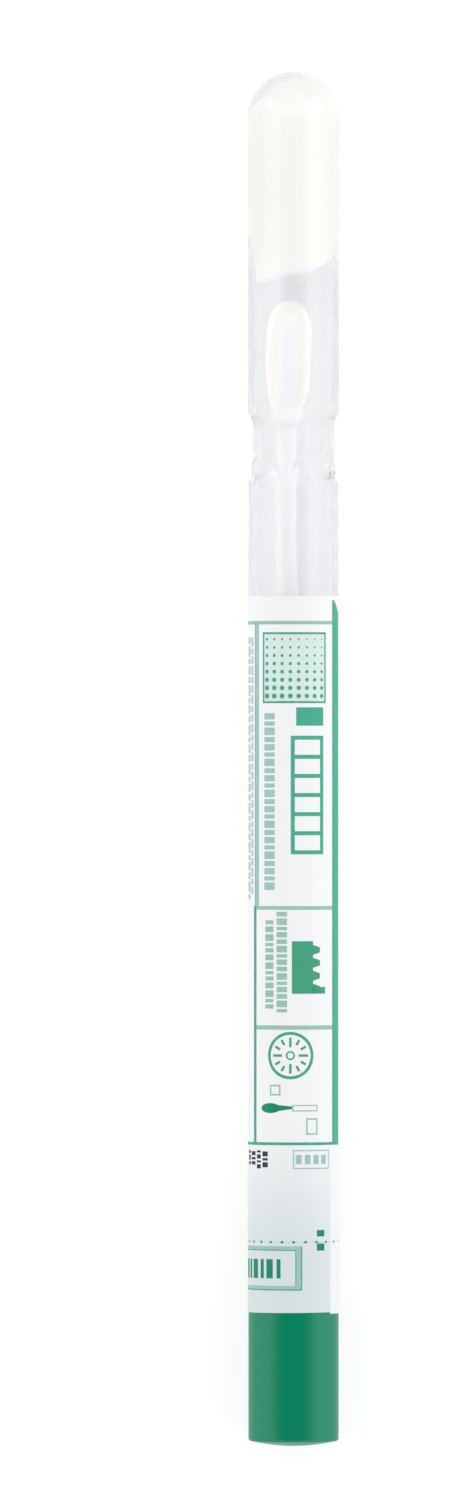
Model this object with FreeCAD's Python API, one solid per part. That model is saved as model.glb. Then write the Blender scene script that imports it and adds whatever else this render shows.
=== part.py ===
import FreeCAD, Part

import math
import os

# A specimen swab tube: a clear moulded tube with a round end and a pinched neck, a plug of gel
# medium in the round end, and a cap that carries the swab. One printed label wraps the tube and
# the cap, and tears along a perforation where they meet.
#
# Sizes are in millimetres. The tube lies on its side. Its axis runs along Y, from the cap's dome
# (-Y) to the round end (+Y), and Z points up. The origin is on the ground under the middle of the
# length. "Face" angles are measured about the axis from straight up, positive towards +X.

# Tube: one even wall from the rim to the round end
TUBE_LENGTH = 140.4
TUBE_OUTER_R = 5.42
TUBE_WALL = 0.92
CHAMBER_SWELL = 0.06
CHAMBER_LENGTH = 41.1
MOUTH_LEAD_IN = 0.3

# Pinched neck between the barrel and the chamber, with arched pads on the barrel's side of it
NECK_LENGTH = 8.2
NECK_DEPTH = 0.55
NECK_NEAR_TAPER = 0.6
NECK_FAR_TAPER = 0.85
LOBE_COUNT = 4
LOBE_FIRST_FACE_DEG = 32.0
LOBE_VALLEY = 0.04
LOBE_RELIEF = 0.18
LOBE_TOE_RELIEF = 0.03

# Gel medium: it fills the round end up to a slanted surface
GEL_FILM = 0.02
GEL_DEPTH = 23.6
GEL_SLANT_DEG = 15.0

# Cap: solid-coloured grip outside the tube, and the plug, boss and socket inside it
CAP_GRIP_LENGTH = 24.6
CAP_DOME_R = 22.0
CAP_EDGE_CHAMFER = 0.4
CAP_FLOOR = 2.2
PLUG_LENGTH = 8.0
PLUG_WALL = 0.9
PLUG_CLEARANCE = 0.09
PLUG_LEAD_IN = 0.6
BEAD_COUNT = 2
BEAD_FIRST = 2.1
BEAD_PITCH = 2.6
BEAD_HALF_WIDTH = 0.45
BEAD_CLEARANCE = 0.03
SOCKET_FLOOR = 6.0
SOCKET_DEPTH = 12.0
SOCKET_CLEARANCE = 0.01
SOCKET_WALL = 1.05
BOSS_RIB_COUNT = 4
BOSS_RIB_WIDTH = 0.7
BOSS_RIB_SETBACK = 4.0

# Swab: the shaft leans off the centre line, droops a little, and bows back near its tip. The
# tip's shares are of its full radius.
SHAFT_R = 1.25
SHAFT_SWAY = 0.86
SHAFT_DROOP_DEG = 0.3
BOW_LENGTH = 29.0
BOW_R = 700.0
TIP_LENGTH = 15.3
TIP_END_GAP = 27.5
TIP_COVER = 2.5
TIP_NECK_CLEARANCE = 0.32
TIP_NOSE_LENGTH = 2.6
TIP_NOSE_SHARES = (0.42, 0.84)
TIP_BACK_SHARE = 0.88
TIP_TAPER_LENGTH = 3.8
TIP_CUFF = 0.04

# Label: one wrap with a short overlap, torn off the cap along a perforated line
LABEL_THICKNESS = 0.10
LABEL_BARE_BAND = 13.65
BAND_LENGTH = 8.4
TEAR_GAP = 0.10
FLAP_FACE_DEG = 53.0
FLAP_WIDTH = 7.2
FLAP_SKEW = 0.24
PERFORATION_COUNT = 24
PERFORATION_WIDTH = 0.6
PERFORATION_DEPTH = 0.25

# Worked out from the sizes above
OVERALL_LENGTH = CAP_GRIP_LENGTH + TUBE_LENGTH
CAP_END = -OVERALL_LENGTH / 2
ROUND_END = OVERALL_LENGTH / 2
RIM = CAP_END + CAP_GRIP_LENGTH
LABEL_R = TUBE_OUTER_R + LABEL_THICKNESS
CHAMBER_OUTER_R = TUBE_OUTER_R + CHAMBER_SWELL
AXIS_HEIGHT = max(LABEL_R, CHAMBER_OUTER_R)
TUBE_INNER_R = TUBE_OUTER_R - TUBE_WALL
CHAMBER_INNER_R = CHAMBER_OUTER_R - TUBE_WALL
NECK_OUTER_R = TUBE_OUTER_R - NECK_DEPTH
NECK_INNER_R = NECK_OUTER_R - TUBE_WALL
LOBE_ARCH_R = NECK_OUTER_R * math.sin(math.pi / LOBE_COUNT) - LOBE_VALLEY
DOME_CENTRE = ROUND_END - CHAMBER_OUTER_R
NECK_FAR = ROUND_END - CHAMBER_LENGTH
NECK_NEAR = NECK_FAR - NECK_LENGTH
PLUG_R = TUBE_INNER_R - PLUG_CLEARANCE
PLUG_BORE_R = PLUG_R - PLUG_WALL
TIP_END = ROUND_END - TIP_END_GAP
SHAFT_END = TIP_END - TIP_COVER
BOW_START = SHAFT_END - BOW_LENGTH
SOCKET_MIDDLE = CAP_END + SOCKET_FLOOR + SOCKET_DEPTH / 2
SHAFT_LEAN = math.atan(SHAFT_SWAY / (BOW_START - SOCKET_MIDDLE))

AXIS = FreeCAD.Vector(0, 1, 0)
UP = FreeCAD.Vector(0, 0, 1)
LIFT = FreeCAD.Vector(0, 0, AXIS_HEIGHT)


class Outline:
    """Half of a turned section, drawn as (radius, place along the axis) from point to point."""

    def __init__(self, radius, along):
        self.first = self.last = FreeCAD.Vector(radius, along, 0)
        self.edges = []

    def line(self, radius, along):
        """Draw a straight edge to the next point."""
        end = FreeCAD.Vector(radius, along, 0)
        self.edges.append(Part.LineSegment(self.last, end).toShape())
        self.last = end
        return self

    def arc(self, middle, end):
        """Draw a circular arc through one point to the next."""
        middle = FreeCAD.Vector(middle[0], middle[1], 0)
        end = FreeCAD.Vector(end[0], end[1], 0)
        self.edges.append(Part.Arc(self.last, middle, end).toShape())
        self.last = end
        return self

    def turned(self):
        """Close the outline and turn it about the axis into a solid."""
        if self.last.distanceToPoint(self.first) > 1e-9:
            self.line(self.first.x, self.first.y)
        face = Part.Face(Part.Wire(self.edges))
        return face.revolve(FreeCAD.Vector(), AXIS, 360)


def dome_middle(centre, radius):
    """Halfway point of the quarter circle from a cylinder's edge to the top of its dome."""
    return radius * math.cos(math.pi / 4), centre + radius * math.sin(math.pi / 4)


def ring(inner, outer, start, end, face_deg=0.0, sweep_deg=360.0):
    """Thin ring, or the part of it that starts at a face angle and runs on round the tube."""
    corners = [(inner, start), (outer, start), (outer, end), (inner, end)]
    points = [FreeCAD.Vector(0, along, radius) for radius, along in corners]
    face = Part.Face(Part.makePolygon(points + points[:1]))
    solid = face.revolve(FreeCAD.Vector(), AXIS, sweep_deg)
    solid.rotate(FreeCAD.Vector(), AXIS, face_deg)
    return solid


def make_tube():
    """Round-ended tube: barrel, pinched neck and chamber in one even wall."""
    outline = Outline(TUBE_INNER_R + MOUTH_LEAD_IN, RIM)
    outline.line(TUBE_OUTER_R, RIM)
    outline.line(TUBE_OUTER_R, NECK_NEAR)
    outline.line(NECK_OUTER_R, NECK_NEAR + NECK_NEAR_TAPER)
    outline.line(NECK_OUTER_R, NECK_FAR - NECK_FAR_TAPER)
    outline.line(CHAMBER_OUTER_R, NECK_FAR)
    outline.line(CHAMBER_OUTER_R, DOME_CENTRE)
    outline.arc(dome_middle(DOME_CENTRE, CHAMBER_OUTER_R), (0, ROUND_END))
    outline.line(0, ROUND_END - TUBE_WALL)
    outline.arc(dome_middle(DOME_CENTRE, CHAMBER_INNER_R), (CHAMBER_INNER_R, DOME_CENTRE))
    outline.line(CHAMBER_INNER_R, NECK_FAR)
    outline.line(NECK_INNER_R, NECK_FAR - NECK_FAR_TAPER)
    outline.line(NECK_INNER_R, NECK_NEAR + NECK_NEAR_TAPER)
    outline.line(TUBE_INNER_R, NECK_NEAR)
    outline.line(TUBE_INNER_R, RIM + MOUTH_LEAD_IN)
    return outline.turned().fuse(make_neck_lobes()).removeSplitter()


def make_neck_lobes():
    """Arched pads round the near end of the neck, flaring from its middle to the shoulder."""
    base = NECK_NEAR + NECK_NEAR_TAPER / 2
    top = base + LOBE_ARCH_R
    flare = Outline(NECK_OUTER_R - TUBE_WALL / 2, base)
    flare.line(NECK_OUTER_R + LOBE_RELIEF, base)
    flare.line(NECK_OUTER_R + LOBE_TOE_RELIEF, top)
    flare.line(NECK_OUTER_R - TUBE_WALL / 2, top)
    flare = flare.turned()
    lobes = []
    for index in range(LOBE_COUNT):
        face_deg = LOBE_FIRST_FACE_DEG + index * 360 / LOBE_COUNT
        arch = Part.makeCylinder(LOBE_ARCH_R, 2 * TUBE_OUTER_R, FreeCAD.Vector(0, base, 0), UP)
        arch.rotate(FreeCAD.Vector(), AXIS, face_deg)
        lobes.append(flare.common(arch))
    return lobes


def make_gel():
    """Gel that fills the round end, cut off along its slanted surface."""
    radius = CHAMBER_INNER_R - GEL_FILM
    surface = ROUND_END - GEL_DEPTH
    lowest = surface - radius * math.tan(math.radians(GEL_SLANT_DEG))
    fill = Outline(0, lowest)
    fill.line(radius, lowest)
    fill.line(radius, DOME_CENTRE)
    fill.arc(dome_middle(DOME_CENTRE, radius), (0, DOME_CENTRE + radius))

    size = 4 * CHAMBER_OUTER_R
    open_end = Part.makeBox(size, size, size, FreeCAD.Vector(-size / 2, surface - size, -size / 2))
    open_end.rotate(FreeCAD.Vector(0, surface, 0), UP, GEL_SLANT_DEG)
    return fill.turned().cut(open_end)


def crown_point(turn):
    """Point on the cap's domed end, at an angle from the axis as seen from the dome's centre."""
    return CAP_DOME_R * math.sin(turn), CAP_END + CAP_DOME_R * (1 - math.cos(turn))


def make_cap():
    """Cap turned in one piece: domed grip, beaded plug, and a ribbed boss with the socket."""
    crown_turn = math.asin((TUBE_OUTER_R - CAP_EDGE_CHAMFER) / CAP_DOME_R)
    edge = crown_point(crown_turn)
    socket_r = socket_radius()
    boss_r = socket_r + SOCKET_WALL
    floor = CAP_END + CAP_FLOOR
    socket_floor = CAP_END + SOCKET_FLOOR
    boss_top = socket_floor + SOCKET_DEPTH
    plug_end = RIM + PLUG_LENGTH

    outline = Outline(0, CAP_END)
    outline.arc(crown_point(crown_turn / 2), edge)
    outline.line(TUBE_OUTER_R, edge[1] + CAP_EDGE_CHAMFER)
    outline.line(TUBE_OUTER_R, RIM)
    outline.line(PLUG_R, RIM)
    bead_r = TUBE_INNER_R - BEAD_CLEARANCE
    for index in range(BEAD_COUNT):
        bead = RIM + BEAD_FIRST + index * BEAD_PITCH
        outline.line(PLUG_R, bead - BEAD_HALF_WIDTH)
        outline.line(bead_r, bead)
        outline.line(PLUG_R, bead + BEAD_HALF_WIDTH)
    outline.line(PLUG_R, plug_end - PLUG_LEAD_IN)
    outline.line(PLUG_R - PLUG_LEAD_IN / 2, plug_end)
    outline.line(PLUG_BORE_R, plug_end)
    outline.line(PLUG_BORE_R, floor)
    outline.line(boss_r, floor)
    outline.line(boss_r, boss_top)
    outline.line(socket_r, boss_top)
    outline.line(socket_r, socket_floor)
    outline.line(0, socket_floor)
    return outline.turned().fuse(make_boss_ribs(boss_r, floor, boss_top)).removeSplitter()


def make_boss_ribs(boss_r, floor, boss_top):
    """Ribs that tie the socket's boss to the inside of the cap."""
    inner = boss_r - SOCKET_WALL / 2
    reach = PLUG_BORE_R + PLUG_WALL / 2 - inner
    height = boss_top - BOSS_RIB_SETBACK - floor + CAP_FLOOR / 2
    corner = FreeCAD.Vector(inner, floor - CAP_FLOOR / 2, -BOSS_RIB_WIDTH / 2)
    ribs = []
    for index in range(BOSS_RIB_COUNT):
        rib = Part.makeBox(reach, height, BOSS_RIB_WIDTH, corner)
        rib.rotate(FreeCAD.Vector(), AXIS, 45 + index * 360 / BOSS_RIB_COUNT)
        ribs.append(rib)
    return ribs


def socket_radius():
    """Socket bore that just takes the leaning, drooping shaft."""
    lean = math.hypot(SHAFT_LEAN, math.radians(SHAFT_DROOP_DEG))
    return SHAFT_R / math.cos(lean) + SOCKET_DEPTH / 2 * math.tan(lean) + SOCKET_CLEARANCE


def shaft_point(along):
    """Place of the shaft's centre line: a straight lean, then a long arc that bends back."""
    if along <= BOW_START:
        return FreeCAD.Vector(-(along - SOCKET_MIDDLE) * math.tan(SHAFT_LEAN), along, 0)
    run = along - BOW_START
    start = BOW_R * math.sin(SHAFT_LEAN)
    drop = math.sqrt(BOW_R ** 2 - start ** 2) - math.sqrt(BOW_R ** 2 - (run - start) ** 2)
    return FreeCAD.Vector(-SHAFT_SWAY + drop, along, 0)


def make_shaft():
    """Plain round shaft: straight out of the cap, bowed over its last stretch."""
    foot = shaft_point(CAP_END + SOCKET_FLOOR + SOCKET_CLEARANCE + SHAFT_R * math.tan(SHAFT_LEAN))
    bend = shaft_point(BOW_START)
    heading = (bend - foot).normalize()
    straight = Part.makeCylinder(SHAFT_R, (bend - foot).Length, foot, heading)
    side = FreeCAD.Vector(math.cos(SHAFT_LEAN), math.sin(SHAFT_LEAN), 0)
    bow_centre = bend + side * BOW_R
    disc = Part.Face(Part.Wire(Part.makeCircle(SHAFT_R, bend, heading)))
    bow = disc.revolve(bow_centre, UP, -math.degrees(BOW_LENGTH / BOW_R))
    return straight.fuse(bow).removeSplitter()


def tip_radius():
    """Largest radius of the fibre tip that still passes the neck off its centre line."""
    belly = TIP_END - TIP_LENGTH / 2
    drop = (belly - SOCKET_MIDDLE) * math.sin(math.radians(SHAFT_DROOP_DEG))
    return NECK_INNER_R - math.hypot(shaft_point(belly).x, drop) - TIP_NECK_CLEARANCE


def make_tip(shaft):
    """Wound fibre bud: blunt nose, long full belly, taper on to the shaft that fills its core."""
    belly_r = tip_radius()
    base = TIP_END - TIP_LENGTH
    outline = Outline(0, TIP_END)
    outline.line(TIP_NOSE_SHARES[0] * belly_r, TIP_END)
    outline.line(TIP_NOSE_SHARES[1] * belly_r, TIP_END - TIP_NOSE_LENGTH / 3)
    outline.line(belly_r, TIP_END - TIP_NOSE_LENGTH)
    outline.line(belly_r, TIP_END - TIP_LENGTH / 2)
    outline.line(TIP_BACK_SHARE * belly_r, base + TIP_TAPER_LENGTH)
    outline.line(SHAFT_R + TIP_CUFF, base)
    outline.line(0, base)
    bud = outline.turned()
    near = shaft_point(base)
    far = shaft_point(SHAFT_END)
    turn = FreeCAD.Rotation(AXIS, far - near)
    slide = near - turn.multVec(FreeCAD.Vector(0, base, 0))
    bud.Placement = FreeCAD.Placement(slide, turn)
    return bud.cut(shaft)


def droop(piece):
    """Tip a piece of the swab down about the middle of its socket."""
    pivot = FreeCAD.Vector(0, SOCKET_MIDDLE, 0)
    piece.rotate(pivot, FreeCAD.Vector(1, 0, 0), -SHAFT_DROOP_DEG)
    return piece


def make_label_piece(start, end, flap_start, flap_end, torn_edges):
    """One stretch of the wrapped label: a single turn, its overlap, and its torn edge."""
    sweep = math.degrees(FLAP_WIDTH / LABEL_R)
    body = ring(TUBE_OUTER_R, LABEL_R, start, end)
    flap = ring(LABEL_R, LABEL_R + LABEL_THICKNESS, flap_start, flap_end, FLAP_FACE_DEG, sweep)
    return body.fuse(flap).removeSplitter().cut(make_perforation(torn_edges))


def make_perforation(tear_edge):
    """Ring of small slits that reach into a label's edge from the tear line."""
    slit = Part.makeBox(PERFORATION_WIDTH, 2 * PERFORATION_DEPTH, TUBE_WALL,
                        FreeCAD.Vector(-PERFORATION_WIDTH / 2, tear_edge - PERFORATION_DEPTH,
                                       TUBE_OUTER_R - TUBE_WALL / 2))
    slits = []
    for index in range(PERFORATION_COUNT):
        copy = slit.copy()
        copy.rotate(FreeCAD.Vector(), AXIS, index * 360 / PERFORATION_COUNT)
        slits.append(copy)
    return slits


def make_tube_label():
    """Long stretch of the label, on the tube."""
    start = RIM + TEAR_GAP / 2
    end = NECK_NEAR - LABEL_BARE_BAND
    return make_label_piece(start, end, start, end - FLAP_SKEW, start)


def make_tear_band():
    """Short stretch of the label, on the cap."""
    end = RIM - TEAR_GAP / 2
    start = RIM - BAND_LENGTH
    return make_label_piece(start, end, start - FLAP_SKEW, end, end)


def main():
    """Build each piece in place and write one file for each."""
    os.makedirs("parts", exist_ok=True)
    shaft = make_shaft()
    pieces = {
        "tube": make_tube(),
        "gel_medium": make_gel(),
        "tube_label": make_tube_label(),
        "cap": make_cap(),
        "tear_band": make_tear_band(),
        "swab_shaft": droop(shaft.copy()),
        "swab_tip": droop(make_tip(shaft)),
    }
    for name, piece in pieces.items():
        piece.translate(LIFT)
        print(name, "solids", len(piece.Solids), "valid", piece.isValid(),
              "volume", round(piece.Volume, 2))
        piece.exportStep("parts/" + name + ".step")


main()
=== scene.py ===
"""Looks of the specimen swab tube: clear round-ended tube with gel, wrapped label, and swab on a green cap.

Lengths in here are millimetres, and a mesh is turned into metres as it is made.
The axis runs along Y. A face angle is measured round it, from straight up towards +X.
"""
import math

import bpy
import numpy as np
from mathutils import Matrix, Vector


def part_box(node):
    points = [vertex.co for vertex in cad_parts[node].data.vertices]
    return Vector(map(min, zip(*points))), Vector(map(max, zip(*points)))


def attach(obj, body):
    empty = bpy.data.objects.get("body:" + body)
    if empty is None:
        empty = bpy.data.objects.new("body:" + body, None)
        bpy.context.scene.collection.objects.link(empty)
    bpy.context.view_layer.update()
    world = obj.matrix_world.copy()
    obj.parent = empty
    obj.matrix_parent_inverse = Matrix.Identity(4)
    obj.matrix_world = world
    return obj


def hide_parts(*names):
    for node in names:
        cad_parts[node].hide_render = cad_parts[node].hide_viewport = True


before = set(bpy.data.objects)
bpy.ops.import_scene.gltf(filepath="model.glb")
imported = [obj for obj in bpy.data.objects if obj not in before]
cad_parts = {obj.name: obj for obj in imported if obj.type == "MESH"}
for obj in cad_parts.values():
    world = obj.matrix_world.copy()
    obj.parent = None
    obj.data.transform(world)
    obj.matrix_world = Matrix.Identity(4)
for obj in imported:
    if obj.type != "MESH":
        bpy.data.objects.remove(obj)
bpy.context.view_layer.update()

MM = 0.001


def node_box(name):
    """Lowest and highest corner of a CAD node, in millimetres."""
    low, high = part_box(name)
    return np.array(low) / MM, np.array(high) / MM


# Places and sizes that the CAD nodes give
tube_low, tube_high = node_box("tube")
label_low, label_high = node_box("tube_label")
band_low, band_high = node_box("tear_band")
cap_low, cap_high = node_box("cap")
tip_low, tip_high = node_box("swab_tip")

AXIS_HEIGHT = (tube_low[2] + tube_high[2]) / 2
RIM, ROUND_END = tube_low[1], tube_high[1]
CAP_END, PLUG_END = cap_low[1], cap_high[1]
TIP_BASE, TIP_END = tip_low[1], tip_high[1]
CHAMBER_R = tube_high[0]
TUBE_R = cap_high[0]

# Walls
WALL = 0.92
LABEL_THICKNESS = 0.06
LABEL_R = TUBE_R + LABEL_THICKNESS
TUBE_BORE_R = TUBE_R - WALL
CHAMBER_BORE_R = CHAMBER_R - WALL
DOME_CENTRE = ROUND_END - CHAMBER_R

# Neck and its pads
CHAMBER_LENGTH, NECK_LENGTH, NECK_DEPTH = 41.1, 8.2, 0.55
CHAMBER_START = ROUND_END - CHAMBER_LENGTH
NECK_START = CHAMBER_START - NECK_LENGTH
NECK_R = TUBE_R - NECK_DEPTH
NEAR_TAPER, FAR_TAPER = 0.6, 0.85
LOBE_COUNT, LOBE_FIRST_DEG = 4, 32.0
LOBE_BASE = NECK_START + NEAR_TAPER / 2
LOBE_ARCH_R = 3.40
LOBE_RELIEF, LOBE_TOE_RELIEF, LOBE_BROW = 0.12, 0.05, 0.07

# Gel: the middle of its free surface, the foot of its air wedge, and how deep wedge and bubble are
GEL_MIDDLE = ROUND_END - 24.05
WEDGE_FOOT = ROUND_END - 16.1
WEDGE_DEPTH, BUBBLE_DEPTH = 0.38, 0.55

# Cap: grip, plug with its beads, and the socket's ribbed boss
CAP_DOME_R, CAP_CROWN_R = 22.0, 4.9
CAP_FLOOR = 2.2
PLUG_WALL, PLUG_CLEARANCE = 0.9, 0.09
BEAD_PLACES, BEAD_HALF_WIDTH, BEAD_CLEARANCE = (2.1, 4.7), 0.45, 0.03
SOCKET_FLOOR, SOCKET_DEPTH = 6.0, 12.0
SOCKET_CLEARANCE, SOCKET_WALL = 0.07, 1.05
BOSS_RIB_COUNT, BOSS_RIB_WIDTH, BOSS_RIB_SETBACK = 4, 0.7, 4.0

# Swab
SHAFT_R = 1.25
SHAFT_SWAY = 0.86
SHAFT_DROOP_DEG = 0.3
TIP_COVER = 2.5
BOW_LENGTH, BOW_R = 29.0, 700.0
SHAFT_END = TIP_END - TIP_COVER
BOW_START = SHAFT_END - BOW_LENGTH
SOCKET_MIDDLE = CAP_END + (SOCKET_FLOOR + SOCKET_DEPTH / 2)
SHAFT_LEAN = math.atan(SHAFT_SWAY / (BOW_START - SOCKET_MIDDLE))
TIP_R, TIP_NOSE, TIP_TAPER = 2.77, 4.2, 8.3

# Label: its outer edge, how far it laps over itself, its skew and its perforation
FLAP_EDGE = math.radians(53.0)
FLAP_WIDTH = 7.2
FLAP_TURN = FLAP_WIDTH / LABEL_R
SKEW = 0.24
SLITS, SLIT_DEPTH = 24, 0.14


# ---------------------------------------------------------------- surfaces

def ease(t):
    """Smooth step from 0 to 1: 3 t squared minus 2 t cubed."""
    t = np.clip(t, 0.0, 1.0)
    return t * t * (3.0 - 2.0 * t)


def grid_faces(rows, columns, closed=False):
    """Four-cornered faces of a grid of points, whose last column may join its first."""
    row = np.arange(rows - 1)[:, None]
    column = np.arange(columns if closed else columns - 1)[None, :]
    next_row, next_column = row + 1, (column + 1) % columns
    corners = [row * columns + column, row * columns + next_column,
               next_row * columns + next_column, next_row * columns + column]
    return np.stack(np.broadcast_arrays(*corners), axis=-1).reshape(-1, 4)


def outward(points, quads, triangles):
    """Turns a closed shell's faces outwards: its volume, a sum of triple products, must be positive."""
    thirds = np.vstack([quads[:, [0, 1, 2]], quads[:, [0, 2, 3]], triangles])
    a, b, c = (points[thirds[:, k]] for k in range(3))
    if np.einsum("ij,ij->i", a - points[0], np.cross(b - points[0], c - points[0])).sum() < 0:
        quads, triangles = quads[:, ::-1], triangles[:, ::-1]
    return points, quads, triangles


NO_TRIANGLES = np.zeros((0, 3), int)


def pod(rings):
    """Closed shell through rings of points, the first and last ring each drawn together into one pole."""
    rows, columns, _ = rings.shape
    first, last = rings[0].mean(axis=0), rings[-1].mean(axis=0)
    points = np.vstack([rings[1:-1].reshape(-1, 3), first, last])
    here = np.arange(columns)
    beside = (here + 1) % columns
    end = (rows - 3) * columns
    first_pole, last_pole = np.full(columns, len(points) - 2), np.full(columns, len(points) - 1)
    fans = np.vstack([np.stack([first_pole, beside, here], axis=1),
                      np.stack([last_pole, end + here, end + beside], axis=1)])
    return outward(points, grid_faces(rows - 2, columns, closed=True), fans)


def slab(top, bottom):
    """Closed shell between two matching grids of points, with walls along all four sides."""
    rows, columns, _ = top.shape
    layer = rows * columns
    index = np.arange(layer).reshape(rows, columns)
    rim = np.concatenate([index[0, :-1], index[:-1, -1], index[-1, :0:-1], index[:0:-1, 0]])
    ahead = np.roll(rim, -1)
    faces = grid_faces(rows, columns)
    walls = np.stack([rim, layer + rim, layer + ahead, ahead], axis=1)
    quads = np.vstack([faces, layer + faces[:, ::-1], walls])
    return outward(np.vstack([top.reshape(-1, 3), bottom.reshape(-1, 3)]), quads, NO_TRIANGLES)


def rounded(corners, steps=6):
    """Outline through corners (along, radius, rounding): each becomes the arc that touches both its runs."""
    places = [np.array(corner[:2], float) for corner in corners]
    pieces = []
    for index, corner in enumerate(corners):
        size = corner[2]
        if size <= 0 or index in (0, len(corners) - 1):
            pieces.append(places[index][None])
            continue
        here = places[index]
        back = places[index - 1] - here
        on = places[index + 1] - here
        back, on = back / np.linalg.norm(back), on / np.linalg.norm(on)
        half = math.acos(np.clip(back @ on, -1, 1)) / 2
        middle = (back + on) / np.linalg.norm(back + on) * size / math.sin(half) + here
        start = here + back * size / math.tan(half) - middle
        end = here + on * size / math.tan(half) - middle
        swing = math.pi - 2 * half
        t = np.linspace(0, 1, steps + 1)[:, None]
        pieces.append(middle + (np.sin((1 - t) * swing) * start + np.sin(t * swing) * end) / math.sin(swing))
    return np.vstack(pieces)


def arc(centre, radius, start_deg, end_deg, steps):
    """Arc of an outline about a centre on the axis: along = centre + radius sin, out = radius cos."""
    t = np.radians(np.linspace(start_deg, end_deg, steps + 1))
    return np.stack([centre + radius * np.sin(t), radius * np.cos(t)], axis=1)


def divided(outline, step):
    """The same outline with points added so that no run is longer than step."""
    length = np.concatenate([[0], np.cumsum(np.linalg.norm(np.diff(outline, axis=0), axis=1))])
    places = np.unique(np.concatenate([length, np.arange(0, length[-1], step)]))
    return np.stack([np.interp(places, length, outline[:, k]) for k in range(2)], axis=1)


def around(columns):
    """Face angles of a full turn, in radians."""
    return np.arange(columns) * 2 * math.pi / columns


def on_tube(angle, along, radius):
    """Points at a face angle, a place along the axis and a radius."""
    angle, along, radius = np.broadcast_arrays(angle, along, radius)
    return np.stack([radius * np.sin(angle), along, AXIS_HEIGHT + radius * np.cos(angle)], axis=-1)


def turned(outline, columns):
    """Rings of an outline of (along, radius) points turned about the axis."""
    return on_tube(around(columns)[None, :], outline[:, :1], outline[:, 1:])


def make_piece(name, shells, body, nodes, materials, crease_deg=32.0):
    """One object from closed shells, each with the number of its material, riding on a body."""
    points, faces, numbers, offset = [], [], [], 0
    for shell, number in shells:
        shell_points, quads, triangles = shell
        points.append(shell_points)
        faces += (quads + offset).tolist() + (triangles + offset).tolist()
        numbers += [number] * (len(quads) + len(triangles))
        offset += len(shell_points)
    mesh = bpy.data.meshes.new(name)
    mesh.from_pydata((np.vstack(points) * MM).tolist(), [], faces)
    for material in materials:
        mesh.materials.append(material)
    mesh.polygons.foreach_set("material_index", numbers)
    mesh.shade_smooth()
    mesh.set_sharp_from_angle(angle=math.radians(crease_deg))
    piece = bpy.data.objects.new(name, mesh)
    bpy.context.scene.collection.objects.link(piece)
    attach(piece, body)
    if nodes:
        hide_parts(*nodes)
    return piece


# ---------------------------------------------------------------- camera, floor and light

def add_camera():
    """Long lens straight above, level with the axis, the part to the right of the picture's middle."""
    data = bpy.data.cameras.new("camera")
    data.lens, data.sensor_width = 400.0, 36.0
    data.clip_start, data.clip_end = 0.05, 20.0
    camera = bpy.data.objects.new("camera", data)
    aside, ahead, distance = -8.225, 1.04, 2001.0
    camera.location = (aside * MM, ahead * MM, (AXIS_HEIGHT + distance) * MM)
    bpy.context.scene.collection.objects.link(camera)
    bpy.context.scene.camera = camera


def add_floor():
    """Plain pale table top, level with the part's lowest point, which glows evenly so that it stays pale."""
    half = 6.0
    glow = 0.74
    corners = [(-half, -half, 0), (half, -half, 0), (half, half, 0), (-half, half, 0)]
    mesh = bpy.data.meshes.new("floor")
    mesh.from_pydata(corners, [], [(0, 1, 2, 3)])
    material = bpy.data.materials.new("pale_table")
    material.use_nodes = True
    shader = material.node_tree.nodes["Principled BSDF"]
    shader.inputs["Base Color"].default_value = (0.3, 0.3, 0.3, 1)
    shader.inputs["Roughness"].default_value = 1.0
    shader.inputs["Specular IOR Level"].default_value = 0.0
    shader.inputs["Emission Color"].default_value = (1, 1, 1, 1)
    shader.inputs["Emission Strength"].default_value = glow
    mesh.materials.append(material)
    floor = bpy.data.objects.new("floor", mesh)
    bpy.context.scene.collection.objects.link(floor)


def maths(tree, operation, *values, clamp=False):
    """Math node on numbers or sockets; gives its output."""
    node = tree.nodes.new("ShaderNodeMath")
    node.operation, node.use_clamp = operation, clamp
    for socket, value in zip(node.inputs, values):
        if hasattr(value, "links"):
            tree.links.new(value, socket)
        else:
            socket.default_value = value
    return node.outputs[0]


def smooth_between(tree, value, low, high, start=0.0, end=1.0):
    """Smooth change of a value from start at low to end at high."""
    node = tree.nodes.new("ShaderNodeMapRange")
    node.interpolation_type = "SMOOTHSTEP"
    tree.links.new(value, node.inputs["Value"])
    for name, number in (("From Min", low), ("From Max", high), ("To Min", start), ("To Max", end)):
        node.inputs[name].default_value = number
    return node.outputs[0]


def coordinates(tree, kind):
    """The x, y and z of a texture coordinate."""
    place = tree.nodes.new("ShaderNodeTexCoord")
    parts = tree.nodes.new("ShaderNodeSeparateXYZ")
    tree.links.new(place.outputs[kind], parts.inputs[0])
    return parts.outputs


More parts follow.
